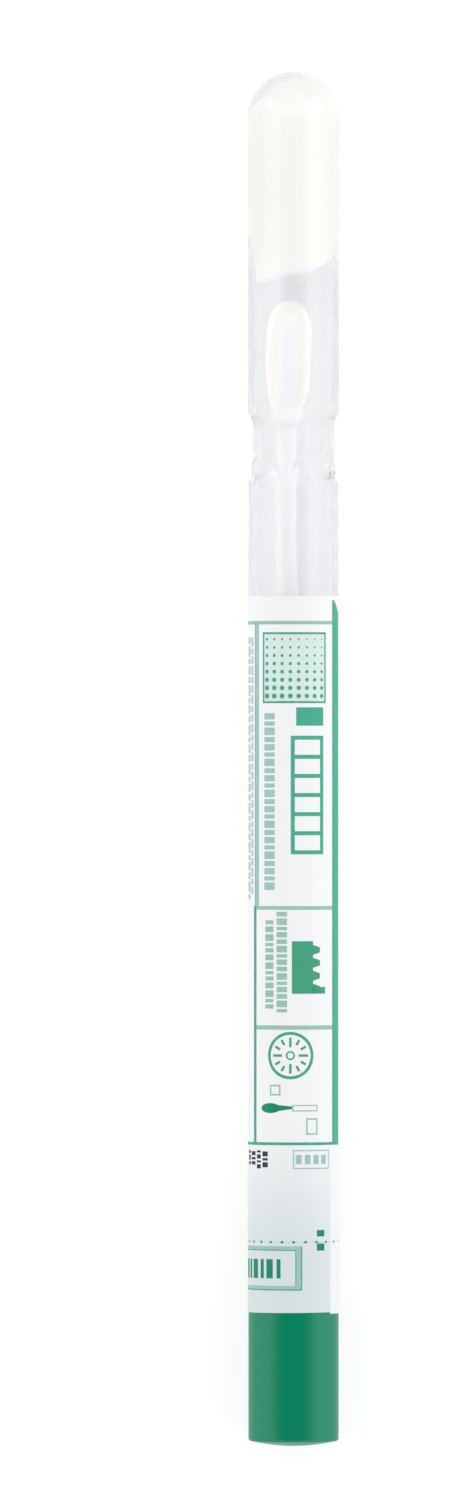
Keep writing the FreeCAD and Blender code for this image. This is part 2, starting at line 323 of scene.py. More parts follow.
def add_studio_light():
    """White room with a dim patch overhead, less light along the part's ends, and two low soft lights.

    The patch is an ellipse: root of (x / patch width) squared plus (y / patch length) squared.
    """
    patch_width, patch_length = 0.76, 0.13
    softbox_size, softbox_power, softbox_distance = 0.15, 0.70, 0.6
    world = bpy.data.worlds.new("studio")
    world.use_nodes = True
    bpy.context.scene.world = world
    tree = world.node_tree
    tree.nodes.clear()
    x, y, z = coordinates(tree, "Generated")
    wide, long = maths(tree, "DIVIDE", x, patch_width), maths(tree, "DIVIDE", y, patch_length)
    reach = maths(tree, "SQRT", maths(tree, "ADD", maths(tree, "MULTIPLY", wide, wide),
                                      maths(tree, "MULTIPLY", long, long)))
    room = smooth_between(tree, reach, 0.42, 1.0, 0.28, 1.235)
    low = smooth_between(tree, z, 0.55, 0.05, 1.0, 0.80)
    left = smooth_between(tree, x, -0.62, -0.90, 1.0, 1.12)
    right = smooth_between(tree, x, 0.30, 0.85, 1.0, 1.25)
    near_end = smooth_between(tree, y, -0.35, -0.9, 1.0, 0.6)
    far_end = smooth_between(tree, y, 0.25, 0.80, 1.0, 0.5)
    strength = room
    for factor in (low, left, right, near_end, far_end):
        strength = maths(tree, "MULTIPLY", strength, factor)
    background = tree.nodes.new("ShaderNodeBackground")
    background.inputs["Color"].default_value = (1, 1, 1, 1)
    tree.links.new(strength, background.inputs["Strength"])
    output = tree.nodes.new("ShaderNodeOutputWorld")
    tree.links.new(background.outputs[0], output.inputs["Surface"])
    for name, toward in (("left", (-0.823, 0.497, 0.277)), ("right", (0.783, 0.564, 0.261))):
        data = bpy.data.lights.new("softbox_" + name, "AREA")
        data.shape, data.size, data.energy = "DISK", softbox_size, softbox_power
        light = bpy.data.objects.new("softbox_" + name, data)
        direction = Vector(toward).normalized()
        light.location = direction * softbox_distance + Vector((0, DOME_CENTRE * MM, 0))
        light.rotation_euler = direction.to_track_quat("Z", "Y").to_euler()
        bpy.context.scene.collection.objects.link(light)
    bpy.context.scene.view_settings.view_transform = "Standard"


add_camera()
add_floor()
add_studio_light()


# ---------------------------------------------------------------- finishes

def node_group(name, inputs, outputs):
    """New shader group with named number inputs and named outputs; gives the tree and its two end nodes."""
    group = bpy.data.node_groups.new(name, "ShaderNodeTree")
    for label, value in inputs:
        socket = group.interface.new_socket(label, in_out="INPUT", socket_type="NodeSocketFloat")
        socket.default_value = value
    for label, kind in outputs:
        group.interface.new_socket(label, in_out="OUTPUT", socket_type=kind)
    return group, group.nodes.new("NodeGroupInput"), group.nodes.new("NodeGroupOutput")


def mapped_noise(tree, stretch, scale, detail=3.0, roughness=0.5):
    """Noise on object coordinates, its grain drawn out by stretch along each axis; gives its value."""
    place = tree.nodes.new("ShaderNodeTexCoord")
    mapping = tree.nodes.new("ShaderNodeMapping")
    mapping.inputs["Scale"].default_value = stretch
    noise = tree.nodes.new("ShaderNodeTexNoise")
    tree.links.new(place.outputs["Object"], mapping.inputs["Vector"])
    tree.links.new(mapping.outputs["Vector"], noise.inputs["Vector"])
    if hasattr(scale, "links"):
        tree.links.new(scale, noise.inputs["Scale"])
    else:
        noise.inputs["Scale"].default_value = scale
    noise.inputs["Detail"].default_value = detail
    noise.inputs["Roughness"].default_value = roughness
    return noise.outputs["Fac"]


def moulding_group():
    """Moulded plastic: long faint flow streaks along the part, and fine grain from the mould."""
    group, start, end = node_group("moulding_marks", [("Streaks", 60.0), ("Grain", 900.0), ("Depth", 1.0)],
                                   [("Streak", "NodeSocketFloat"), ("Relief", "NodeSocketFloat")])
    streak = mapped_noise(group, (1.0, 0.12, 1.0), start.outputs["Streaks"], 2.0)
    grain = mapped_noise(group, (1.0, 1.0, 1.0), start.outputs["Grain"], 2.0)
    relief = maths(group, "ADD", maths(group, "MULTIPLY", streak, 0.7), maths(group, "MULTIPLY", grain, 0.3))
    group.links.new(streak, end.inputs["Streak"])
    group.links.new(maths(group, "MULTIPLY", relief, start.outputs["Depth"]), end.inputs["Relief"])
    return group


def fibre_group():
    """Fine threads: two crossed sets of drawn-out noise, and a slow unevenness."""
    group, start, end = node_group("fine_threads", [("Threads", 2200.0), ("Slope", 0.35)],
                                   [("Thread", "NodeSocketFloat"), ("Cloud", "NodeSocketFloat")])
    one = mapped_noise(group, (1.0, 0.18, 1.0), start.outputs["Threads"], 3.0, 0.6)
    two = mapped_noise(group, (0.35, 1.0, 0.35), start.outputs["Threads"], 3.0, 0.6)
    slope = start.outputs["Slope"]
    blend = maths(group, "ADD", maths(group, "MULTIPLY", one, maths(group, "SUBTRACT", 1.0, slope)),
                  maths(group, "MULTIPLY", two, slope))
    group.links.new(blend, end.inputs["Thread"])
    group.links.new(mapped_noise(group, (1.0, 0.5, 1.0), 260.0, 2.0), end.inputs["Cloud"])
    return group


MOULDING = moulding_group()
THREADS = fibre_group()


def new_finish(name):
    """Material with its node tree and its one Principled shader."""
    material = bpy.data.materials.new(name)
    material.use_nodes = True
    return material, material.node_tree, material.node_tree.nodes["Principled BSDF"]


def placed(tree, group, **values):
    """A group's node with its inputs set."""
    node = tree.nodes.new("ShaderNodeGroup")
    node.node_tree = group
    for name, value in values.items():
        node.inputs[name].default_value = value
    return node


def colour_between(tree, factor, first, second):
    """Colour that changes from first to second with a factor. Each is a plain colour or a node's output."""
    mix = tree.nodes.new("ShaderNodeMix")
    mix.data_type = "RGBA"
    tree.links.new(factor, mix.inputs["Factor"])
    for name, colour in (("A", first), ("B", second)):
        if isinstance(colour, tuple):
            mix.inputs[name].default_value = (*colour, 1)
        else:
            tree.links.new(colour, mix.inputs[name])
    return mix.outputs["Result"]


def painted_by_slant(tree, plain, painted_colour, low, high, blend=0.5):
    """Colour that leans from plain to a painted one as the surface is seen at more of a slant: painted shade
    or painted reflection by viewing angle.
    """
    slant = tree.nodes.new("ShaderNodeLayerWeight")
    slant.inputs["Blend"].default_value = blend
    return colour_between(tree, smooth_between(tree, slant.outputs["Facing"], low, high), plain, painted_colour)


def bumped(tree, shader, height, strength, distance_mm):
    """Relief on a shader from a height."""
    bump = tree.nodes.new("ShaderNodeBump")
    bump.inputs["Strength"].default_value = strength
    bump.inputs["Distance"].default_value = distance_mm * MM
    tree.links.new(height, bump.inputs["Height"])
    tree.links.new(bump.outputs["Normal"], shader.inputs["Normal"])


def passed_through(tree, shader, share, tint):
    """Lets a share of shadow and bounce light straight through, tinted. The camera sees the shader."""
    through = tree.nodes.new("ShaderNodeBsdfTransparent")
    through.inputs["Color"].default_value = (*tint, 1)
    path = tree.nodes.new("ShaderNodeLightPath")
    passing = maths(tree, "MAXIMUM", path.outputs["Is Shadow Ray"], path.outputs["Is Diffuse Ray"])
    mix = tree.nodes.new("ShaderNodeMixShader")
    tree.links.new(maths(tree, "MULTIPLY", passing, share), mix.inputs["Fac"])
    tree.links.new(shader.outputs[0], mix.inputs[1])
    tree.links.new(through.outputs[0], mix.inputs[2])
    tree.links.new(mix.outputs[0], tree.nodes["Material Output"].inputs["Surface"])


def clear_plastic():
    """Clear moulded polypropylene, hazy at the pressed neck, with painted shade that darkens its outline.

    Where air backs the wall, before the gel and at the bubble, painted shade makes it a shade darker at a
    slant too; painted light makes the neck's slanted sides paler.
    """
    material, tree, shader = new_finish("clear_plastic")
    x, y, _ = coordinates(tree, "Object")
    path = tree.nodes.new("ShaderNodeLightPath")
    slant = tree.nodes.new("ShaderNodeLayerWeight")
    slant.inputs["Blend"].default_value = 0.5
    facing = slant.outputs["Facing"]
    empty = smooth_between(tree, y, (TIP_END + 1.0) * MM, (TIP_END + 9.0) * MM, 1.0, 0.0)
    ahead, aside = 0.84, 0.54
    toward_bubble = maths(tree, "SUBTRACT", maths(tree, "MULTIPLY", y, ahead),
                          maths(tree, "MULTIPLY", x, aside))
    bubble_edge = DOME_CENTRE * ahead + 3.0
    bubble = smooth_between(tree, toward_bubble, bubble_edge * MM, (bubble_edge + 0.9) * MM)
    # Painted shade: the wall darker at a slant where air backs it, before the gel and at the bubble.
    wall = maths(tree, "MULTIPLY", smooth_between(tree, facing, 0.42, 0.48),
                 maths(tree, "ADD", empty, maths(tree, "MULTIPLY", bubble, 0.8), clamp=True))
    # Painted shade: the outline darker where the surface is seen edge-on.
    outline = smooth_between(tree, facing, 0.68, 0.88, 0.0, 0.95)
    neck = maths(tree, "MULTIPLY", smooth_between(tree, y, (NECK_START - 1.5) * MM, (NECK_START - 0.3) * MM),
                 smooth_between(tree, y, (CHAMBER_START + 1.5) * MM, (CHAMBER_START + 0.3) * MM))
    # The painted shade is for camera rays only, and weaker at the neck; its colour is the darker one below.
    shade = maths(tree, "MULTIPLY", maths(tree, "MAXIMUM", wall, outline), path.outputs["Is Camera Ray"])
    shade = maths(tree, "MULTIPLY", shade, smooth_between(tree, neck, 0.0, 1.0, 1.0, 0.45))
    shaded = colour_between(tree, shade, (0.870, 0.879, 0.893), (0.68, 0.69, 0.73))
    # Painted light: the neck's slanted sides made paler.
    neck_painted_light = maths(tree, "MULTIPLY", neck, smooth_between(tree, facing, 0.35, 0.75))
    tree.links.new(colour_between(tree, neck_painted_light, shaded, (0.895, 0.902, 0.914)), shader.inputs["Base Color"])
    shader.inputs["Transmission Weight"].default_value = 0.92
    shader.inputs["IOR"].default_value = 1.49
    shader.inputs["Specular IOR Level"].default_value = 0.20
    marks = placed(tree, MOULDING, Streaks=160.0, Grain=400.0, Depth=1.0)
    haze = maths(tree, "ADD", smooth_between(tree, marks.outputs["Streak"], 0.3, 0.7, 0.0, 0.03),
                 maths(tree, "MULTIPLY", neck, 0.20))
    tree.links.new(haze, shader.inputs["Roughness"])
    passed_through(tree, shader, 1.0, (0.985, 0.985, 0.985))
    return material


def transport_gel():
    """Cloudy off-white gel, slightly warm, with slow clouds, a wet surface, and painted shade that darkens it
    at a slant.
    """
    material, tree, shader = new_finish("transport_gel")
    cloud = mapped_noise(tree, (1.0, 0.4, 1.0), 240.0, 3.0)
    plain = colour_between(tree, cloud, (0.858, 0.849, 0.828), (0.874, 0.864, 0.845))
    # Painted shade: darker where the gel is seen at a slant.
    tree.links.new(painted_by_slant(tree, plain, (0.772, 0.765, 0.745), -0.1, 0.30), shader.inputs["Base Color"])
    shader.inputs["Subsurface Weight"].default_value = 1.0
    shader.inputs["Subsurface Radius"].default_value = (1.0, 0.95, 0.85)
    shader.inputs["Subsurface Scale"].default_value = 4.5 * MM
    shader.inputs["IOR"].default_value = 1.34
    tree.links.new(smooth_between(tree, cloud, 0.3, 0.7, 0.12, 0.22), shader.inputs["Roughness"])
    bumped(tree, shader, cloud, 0.15, 0.1)
    return material


def label_film():
    """White satin label film with a faint grain. Towards the cap it turns darker and greener: partly the
    green of cap and plug showing faintly through one layer, and hardly through two, partly painted shade for
    light that falls off towards the cap end.
    """
    material, tree, shader = new_finish("label_film")
    x, y, z = coordinates(tree, "Object")
    turn = maths(tree, "ARCTAN2", x, maths(tree, "SUBTRACT", z, AXIS_HEIGHT * MM))
    two_layers = smooth_between(tree, turn, FLAP_EDGE - 0.03, FLAP_EDGE + 0.02)
    # Partly the green beneath showing through, partly painted shade towards the cap end.
    toward_cap = smooth_between(tree, y, (RIM + 16.0) * MM, (RIM - 3.0) * MM)
    green_and_painted_shade = maths(tree, "MULTIPLY", toward_cap, smooth_between(tree, two_layers, 0.0, 1.0, 1.0, 0.22))
    threads = placed(tree, THREADS, Threads=1600.0, Slope=0.5)
    plain = colour_between(tree, threads.outputs["Cloud"], (0.782, 0.787, 0.797), (0.810, 0.815, 0.825))
    tree.links.new(colour_between(tree, green_and_painted_shade, plain, (0.600, 0.666, 0.679)), shader.inputs["Base Color"])
    thread = threads.outputs["Thread"]
    tree.links.new(smooth_between(tree, thread, 0.3, 0.7, 0.42, 0.55), shader.inputs["Roughness"])
    shader.inputs["Specular IOR Level"].default_value = 0.35
    bumped(tree, shader, thread, 0.08, 0.02)
    passed_through(tree, shader, 0.8, (1, 1, 1))
    return material


def printed_ink(name, full, thin):
    """Ink that the film's grain thins here and there, from its full colour to a thinner one."""
    material, tree, shader = new_finish(name)
    thread = placed(tree, THREADS, Threads=3000.0, Slope=0.5).outputs["Thread"]
    thinning = smooth_between(tree, thread, 0.5, 0.8)
    tree.links.new(colour_between(tree, thinning, full, thin), shader.inputs["Base Color"])
    tree.links.new(smooth_between(tree, thread, 0.3, 0.7, 0.4, 0.5), shader.inputs["Roughness"])
    shader.inputs["Specular IOR Level"].default_value = 0.12
    return material


def cap_plastic():
    """Opaque green polyethylene with flow streaks, and a painted reflection that makes it paler where it is
    seen at a slant.
    """
    material, tree, shader = new_finish("cap_plastic")
    marks = placed(tree, MOULDING, Streaks=140.0, Grain=1800.0, Depth=1.0)
    streak = marks.outputs["Streak"]
    plain = colour_between(tree, streak, (0.0, 0.186, 0.092), (0.0, 0.199, 0.101))
    # Painted reflection: paler where the cap is seen at a slant.
    with_painted_reflection = painted_by_slant(tree, plain, (0.032, 0.240, 0.142), 0.005, 0.13, 0.35)
    tree.links.new(with_painted_reflection, shader.inputs["Base Color"])
    tree.links.new(smooth_between(tree, streak, 0.3, 0.7, 0.26, 0.32), shader.inputs["Roughness"])
    shader.inputs["Specular IOR Level"].default_value = 0.05
    bumped(tree, shader, marks.outputs["Relief"], 0.06, 0.02)
    return material


def shaft_plastic():
    """Cloudy white polystyrene rod."""
    material, tree, shader = new_finish("shaft_plastic")
    marks = placed(tree, MOULDING, Streaks=420.0, Grain=1500.0, Depth=1.0)
    streak = marks.outputs["Streak"]
    plain = colour_between(tree, streak, (0.905, 0.912, 0.925), (0.935, 0.94, 0.95))
    tree.links.new(plain, shader.inputs["Base Color"])
    shader.inputs["Subsurface Weight"].default_value = 0.6
    shader.inputs["Subsurface Radius"].default_value = (1.0, 1.0, 1.0)
    shader.inputs["Subsurface Scale"].default_value = 0.8 * MM
    tree.links.new(smooth_between(tree, streak, 0.3, 0.7, 0.22, 0.32), shader.inputs["Roughness"])
    bumped(tree, shader, marks.outputs["Relief"], 0.1, 0.03)
    return material


def wound_fibre():
    """Soft white fibre: fine threads, with painted shade that darkens it a little at a slant, a light sheen,
    and a faint painted glow in place of light that the fibre scatters.
    """
    material, tree, shader = new_finish("wound_fibre")
    threads = placed(tree, THREADS, Threads=2600.0, Slope=0.65)
    plain = colour_between(tree, threads.outputs["Thread"], (0.945, 0.932, 0.890), (0.965, 0.952, 0.912))
    # Painted shade: darker where the fibre is seen at a slant.
    tree.links.new(painted_by_slant(tree, plain, (0.850, 0.838, 0.800), 0.0, 0.22), shader.inputs["Base Color"])
    # Painted light: a faint glow in place of light scattered through the fibre.
    shader.inputs["Emission Color"].default_value = (1, 0.975, 0.90, 1)
    shader.inputs["Emission Strength"].default_value = 0.095
    shader.inputs["Subsurface Weight"].default_value = 1.0
    shader.inputs["Subsurface Radius"].default_value = (1.0, 0.97, 0.9)
    shader.inputs["Subsurface Scale"].default_value = 0.6 * MM
    shader.inputs["Roughness"].default_value = 0.9
    shader.inputs["Specular IOR Level"].default_value = 0.15
    shader.inputs["Sheen Weight"].default_value = 0.05
    shader.inputs["Sheen Roughness"].default_value = 0.4
    bumped(tree, shader, threads.outputs["Thread"], 0.6, 0.12)
    return material


# ---------------------------------------------------------------- tube and gel

def neck_drop(along, near, near_run, far, far_run):
    """How far the wall has drawn in for the neck: 0 on the tube, 1 along the neck, smooth steps between."""
    return ease((along - near) / near_run) * (1 - ease((along - far) / far_run))


def chamber_swell(along):
    """How far the wall has grown from the tube's size to the chamber's: a smooth step inside the neck."""
    return (CHAMBER_R - TUBE_R) * ease((along - NECK_START - 3.0) / 4.0)


def lobe_height(angle, along):
    """Height of the neck's pads: within each arch, falling from shoulder to arch top, plus a rounded brow.

    The brow is a bell curve of the distance to the arch's edge.
    """
    spacing = 2 * math.pi / LOBE_COUNT
    turn = np.mod(angle - math.radians(LOBE_FIRST_DEG) + spacing / 2, spacing) - spacing / 2
    reach = np.hypot(NECK_R * np.sin(turn), along - LOBE_BASE)
    inside = ease((LOBE_ARCH_R - reach) / 0.9)
    rise = (along - LOBE_BASE) / LOBE_ARCH_R
    relief = LOBE_RELIEF + (LOBE_TOE_RELIEF - LOBE_RELIEF) * np.clip(rise, 0, 1)
    brow = LOBE_BROW * np.exp(-((reach - LOBE_ARCH_R + 0.6) / 0.36) ** 2)
    return inside * relief + brow * ease((along - LOBE_BASE) / 0.8)


def make_tube():
    """Inside and outside wall turned about the axis, a lip at the rim, and pads on the neck's outside."""
    angle = around(192)[None, :]
    neck = np.arange(NECK_START - 2.0, CHAMBER_START + 2.0, 0.09)
    lower = np.linspace(RIM + 1.0, neck[0] - 0.5, 40)
    upper = np.linspace(neck[-1] + 0.5, DOME_CENTRE - 0.5, 16)
    along = np.concatenate([lower, neck, upper])[:, None]
    depth = TUBE_R - NECK_R
    inner_drop = neck_drop(along, NECK_START - 1.2, 3.0, CHAMBER_START - FAR_TAPER - 1.3, 3.4)
    outer_drop = neck_drop(along, NECK_START - 0.2, NEAR_TAPER + 0.5,
                           CHAMBER_START - FAR_TAPER - 0.3, FAR_TAPER + 0.7)
    bore = TUBE_BORE_R + chamber_swell(along) - depth * inner_drop
    face = TUBE_R + chamber_swell(along) - depth * outer_drop
    face = np.maximum(face + 0 * angle, (along > LOBE_BASE - 0.5) * (NECK_R + lobe_height(angle, along)))
    lip = rounded([(RIM + 0.9, TUBE_BORE_R, 0), (RIM + 0.3, TUBE_BORE_R, 0.2),
                   (RIM, TUBE_BORE_R + 0.3, 0.12), (RIM, TUBE_R, 0.12), (RIM + 0.9, TUBE_R, 0)])
    rings = [turned(arc(DOME_CENTRE, CHAMBER_BORE_R, 90, 0, 40), angle.size),
             on_tube(angle, along[::-1], bore[::-1]),
             turned(lip, angle.size),
             on_tube(angle, along, face),
             turned(arc(DOME_CENTRE, CHAMBER_R, 0, 90, 44), angle.size)]
    return make_piece("tube_body", [(pod(np.concatenate(rings)), 0)], "tube", ["tube"],
                      [clear_plastic()])


def gel_surface(across):
    """Place along the axis of the gel's free surface, by the place across the bore from -1 to 1.

    A fourth-power curve: a low slant, steeper at the right.
    """
    return GEL_MIDDLE + 0.70 * across - 0.40 * across ** 2 + 0.98 * across ** 3 + 1.15 * across ** 4


def gel_gap(angle, along):
    """Width of the air beside the gel: a bubble at the round end's left shoulder, a wedge on the left wall.

    Each has the section of half an ellipse: root of 1 minus the squared shares of its half-widths.
    """
    rise = np.clip((along - DOME_CENTRE) / CHAMBER_BORE_R, -1, 1)
    level = np.sqrt(1 - rise ** 2)
    side, up = np.sin(angle) * level, np.cos(angle) * level
    lift = np.degrees(np.arcsin(np.clip(up, -1, 1))) / 34.0
    swing = np.degrees(np.arctan2(-side, rise))
    middle = 33.0
    swing = (swing - middle) / np.where(swing > middle, 58.0, 50.0)
    bubble = np.sqrt(np.clip(1 - lift ** 2 - swing ** 2, 0, 1))
    around_left = np.degrees(np.mod(angle + math.pi, 2 * math.pi) - math.pi) + 100.0
    open_end = np.clip((WEDGE_FOOT - along) / 8.0, 1e-3, 1)
    wedge = np.sqrt(np.clip(1 - (around_left / (36.0 * open_end)) ** 2, 0, 1)) * open_end
    return np.maximum(BUBBLE_DEPTH * bubble, WEDGE_DEPTH * wedge)


def make_gel():
    """Gel body: a slanted end, its edge drawn up the wall, a side that touches the bore, and a round end."""
    angle = around(160)[None, :]
    film = 0.012
    share = np.linspace(0, 1, 28)[:, None] ** 0.8
    radius = CHAMBER_BORE_R + film
    across = share * np.sin(angle)
    climb = 0.28 * np.exp(-(1 - share) * radius / 0.3)
    slant = gel_surface(across) - climb
    gap = gel_gap(angle, slant)
    rings = [on_tube(angle, slant, share * (radius - gap))]
    start = slant[-1:]
    run = np.linspace(0, 1, 90)[1:, None]
    side = start + (DOME_CENTRE - start) * run
    rings.append(on_tube(angle, side, radius - gel_gap(angle, side)))
    turn = np.radians(np.linspace(0, 90, 40))[1:, None]
    dome_gap = gel_gap(angle, DOME_CENTRE + radius * np.sin(turn))
    rings.append(on_tube(angle, DOME_CENTRE + (radius - dome_gap) * np.sin(turn) + 0 * angle,
                         (radius - dome_gap) * np.cos(turn)))
    return make_piece("gel", [(pod(np.concatenate(rings)), 0)], "tube", ["gel_medium"],
                      [transport_gel()], 50.0)


# ---------------------------------------------------------------- cap and swab

def make_cap():
    """Cap turned in one outline: domed grip, beaded plug, and a hollow with the ribbed boss of the socket."""
    dome_middle = CAP_END + CAP_DOME_R
    edge = dome_middle - math.sqrt(CAP_DOME_R ** 2 - TUBE_R ** 2)
    crown_end = -90 + math.degrees(math.asin(CAP_CROWN_R / CAP_DOME_R))
    crown = arc(dome_middle, CAP_DOME_R, -90, crown_end, 14)
    plug_r = TUBE_BORE_R - PLUG_CLEARANCE
    bore_r = plug_r - PLUG_WALL
    bead_r = TUBE_BORE_R - BEAD_CLEARANCE
    floor, socket_floor = CAP_END + CAP_FLOOR, CAP_END + SOCKET_FLOOR
    boss_top = socket_floor + SOCKET_DEPTH
    socket_r = SHAFT_R + SOCKET_CLEARANCE
    boss_r = socket_r + SOCKET_WALL
    beads = []
    for bead in BEAD_PLACES:
        beads += [(RIM + bead - BEAD_HALF_WIDTH, plug_r, 0.1), (RIM + bead, bead_r, 0.22),
                  (RIM + bead + BEAD_HALF_WIDTH, plug_r, 0.1)]
    grip = [(edge - 0.12, 4.95, 0), (edge - 0.02, TUBE_R, 0.34), (RIM, TUBE_R, 0.1), (RIM, plug_r, 0.1)]
    inside = [(PLUG_END - 0.6, plug_r, 0.3), (PLUG_END, plug_r - 0.3, 0.15), (PLUG_END, bore_r, 0.15),
              (floor, bore_r, 0.5), (floor, boss_r, 0.3), (boss_top, boss_r, 0.15),
              (boss_top, socket_r, 0.15), (socket_floor, socket_r, 0.1), (socket_floor, 0.0, 0)]
    wall = rounded(grip + beads + inside)
    outline = divided(np.vstack([crown, wall[1:]]), 2.5)
    shells = [(pod(turned(outline, 160)), 0)]
    for index in range(BOSS_RIB_COUNT):
        angle = math.radians(45 + 360 / BOSS_RIB_COUNT * index)
        shells.append((rib(angle, boss_r - 0.5, bore_r + 0.4, floor - 1.0, boss_top - BOSS_RIB_SETBACK,
                           BOSS_RIB_WIDTH / 2), 0))
    return make_piece("cap_body", shells, "swab", ["cap"], [cap_plastic()])


def rib(angle, inner, outer, start, end, half):
    """Flat rib that stands out from the axis: a grid of radius by length, pushed half its width each way."""
    radius = np.linspace(inner, outer, 5)[None, :]
    along = np.linspace(start, end, 9)[:, None]
    faces = []
    for push in (-half, half):
        x = radius * math.sin(angle) + push * math.cos(angle) + 0 * along
        z = AXIS_HEIGHT + radius * math.cos(angle) - push * math.sin(angle) + 0 * along
        faces.append(np.stack([x, along + 0 * radius, z], axis=-1))
    return slab(*faces)


def shaft_centre(along):
    """Centre line of the swab: a straight lean to -X, then a long arc that bends back, drooping a little."""
    lean_x = -(along - SOCKET_MIDDLE) * math.tan(SHAFT_LEAN)
    start = BOW_R * math.sin(SHAFT_LEAN)
    run = np.clip(along - BOW_START, 0, None)
    bow_x = math.sqrt(BOW_R ** 2 - start ** 2) - np.sqrt(BOW_R ** 2 - (run - start) ** 2) - SHAFT_SWAY
    x = np.where(along < BOW_START, lean_x, bow_x)
    z = AXIS_HEIGHT - (along - SOCKET_MIDDLE) * math.sin(math.radians(SHAFT_DROOP_DEG))
    return np.stack([x, along, z], axis=-1)


def carried(outline, columns, ripple=None):
    """Rings of an (along, radius) outline, square to the swab's centre line. Ripple adds to the radius."""
    angle = around(columns)[None, :]
    centre = shaft_centre(outline[:, 0])
    heading = shaft_centre(outline[:, 0] + 0.5) - shaft_centre(outline[:, 0] - 0.5)
    heading /= np.linalg.norm(heading, axis=1, keepdims=True)
    right = np.cross(heading, [0, 0, 1.0])
    right /= np.linalg.norm(right, axis=1, keepdims=True)
    up = np.cross(right, heading)
    radius = outline[:, 1:] + (ripple(angle, outline[:, :1]) if ripple else 0 * angle)
    return (centre[:, None] + radius[..., None]
            * (np.sin(angle)[..., None] * right[:, None] + np.cos(angle)[..., None] * up[:, None]))


def make_shaft():
    """Plain round rod with softened ends."""
    foot = CAP_END + SOCKET_FLOOR + 0.05
    corners = [(foot, 0, 0), (foot, SHAFT_R, 0.2), (SHAFT_END, SHAFT_R, 0.4), (SHAFT_END, 0, 0)]
    outline = divided(rounded(corners), 2.0)
    return make_piece("shaft", [(pod(carried(outline, 48)), 0)], "swab", ["swab_shaft"],
                      [shaft_plastic()])


def tip_relief(angle, along):
    """Uneven winding: slow swells and fine slanting ridges of fibre, fading out on to the shaft."""
    wound = 0.030 * np.sin(9 * angle + 1.3 * along) * np.sin(2.1 * along - 3 * angle)
    swell = 0.035 * np.sin(3 * angle + 0.9 * along + 1.0) + 0.02 * np.sin(2 * angle - 0.5 * along)
    fine = 0.012 * np.sin(31 * angle + 6.0 * along) + 0.010 * np.sin(23 * angle - 9.0 * along)
    fade = ease((along - TIP_BASE) / 2.5) * ease((TIP_END - along) / 1.2)
    return (wound + swell + fine - 0.04) * fade


def make_tip():
    """Fibre bud: half an ellipse at the nose, a full belly, and a taper that steepens towards the shaft."""
    nose = np.radians(np.linspace(90, 0, 34))
    front = np.stack([TIP_END - TIP_NOSE + TIP_NOSE * np.sin(nose), TIP_R * np.cos(nose)], axis=1)
    t = np.linspace(0, 1, 60)[1:]
    foot = SHAFT_R - 0.02
    fall = foot + (TIP_R - foot) * (1 - t ** 2.4) ** 1.25
    back = np.stack([TIP_BASE + TIP_TAPER * (1 - t), fall], axis=1)
    belly = np.linspace(TIP_END - TIP_NOSE, TIP_BASE + TIP_TAPER, 14)[1:]
    middle = np.stack([belly, np.full_like(belly, TIP_R)], axis=1)
    base = np.array([[TIP_BASE, SHAFT_R * 0.6], [TIP_BASE, 0.0]])
    outline = np.vstack([front, middle, back, base])
    return make_piece("fibre_tip", [(pod(carried(outline, 144, tip_relief)), 0)],
                      "swab", ["swab_tip"], [wound_fibre()], 60.0)


# ---------------------------------------------------------------- label

def film_radius(angle_run):
    """Outside radius of the wrapped film, by the angle run from its outer edge.

    One layer higher where it laps over its own end, eased at both sides of the lap.
    """
    rise = ease(angle_run / 0.06)
    step = ease((angle_run - FLAP_TURN) / 0.10)
    return LABEL_R + LABEL_THICKNESS * (1 - step) * (0.15 + 0.85 * rise)


def slit_depth(angle):
    """Depth of the perforation's notches in a torn edge, by face angle: equal soft-cornered notches."""
    spacing = 2 * math.pi / SLITS
    off = np.abs(np.mod(angle + spacing / 2, spacing) - spacing / 2) * LABEL_R
    return SLIT_DEPTH * (1 - ease((off - 0.10) / 0.10))


def sleeve(start, end, torn_start):
    """One stretch of wrapped film, rolled a little askew, from its outer edge to its hidden inner edge."""
    turn = 2 * math.pi + FLAP_TURN
    run = np.linspace(0, turn, 1000)[None, :]
    slide = -SKEW * (1 - run / turn)
    notch = slit_depth(FLAP_EDGE + run)
    first = start + (notch if torn_start else slide)
    last = end + (slide if torn_start else -notch)
    share = np.concatenate([[0, 0.006, 0.02], np.linspace(0.04, 0.96, 10), [0.98, 0.994, 1]])[:, None]
    along = first + (last - first) * share
    radius = film_radius(run)
    angle = FLAP_EDGE + run
    return slab(on_tube(angle, along, radius), on_tube(angle, along, radius - LABEL_THICKNESS + 0.004))


def make_label():
    """Both stretches of film, one on the tube and one on the cap, which meet at the tear line."""
    film = label_film()
    make_piece("label", [(sleeve(label_low[1] - 0.04, label_high[1], True), 0)],
               "tube", ["tube_label"], [film], 40.0)
    make_piece("tear_strip", [(sleeve(band_low[1] + SKEW, band_high[1] + 0.04, False), 0)],
               "swab", ["tear_band"], [film], 40.0)


# ---------------------------------------------------------------- print

BAR, LINE, PALE, DARK, GREY, BLACK, TINT, DIVIDER, BLOCK = range(9)


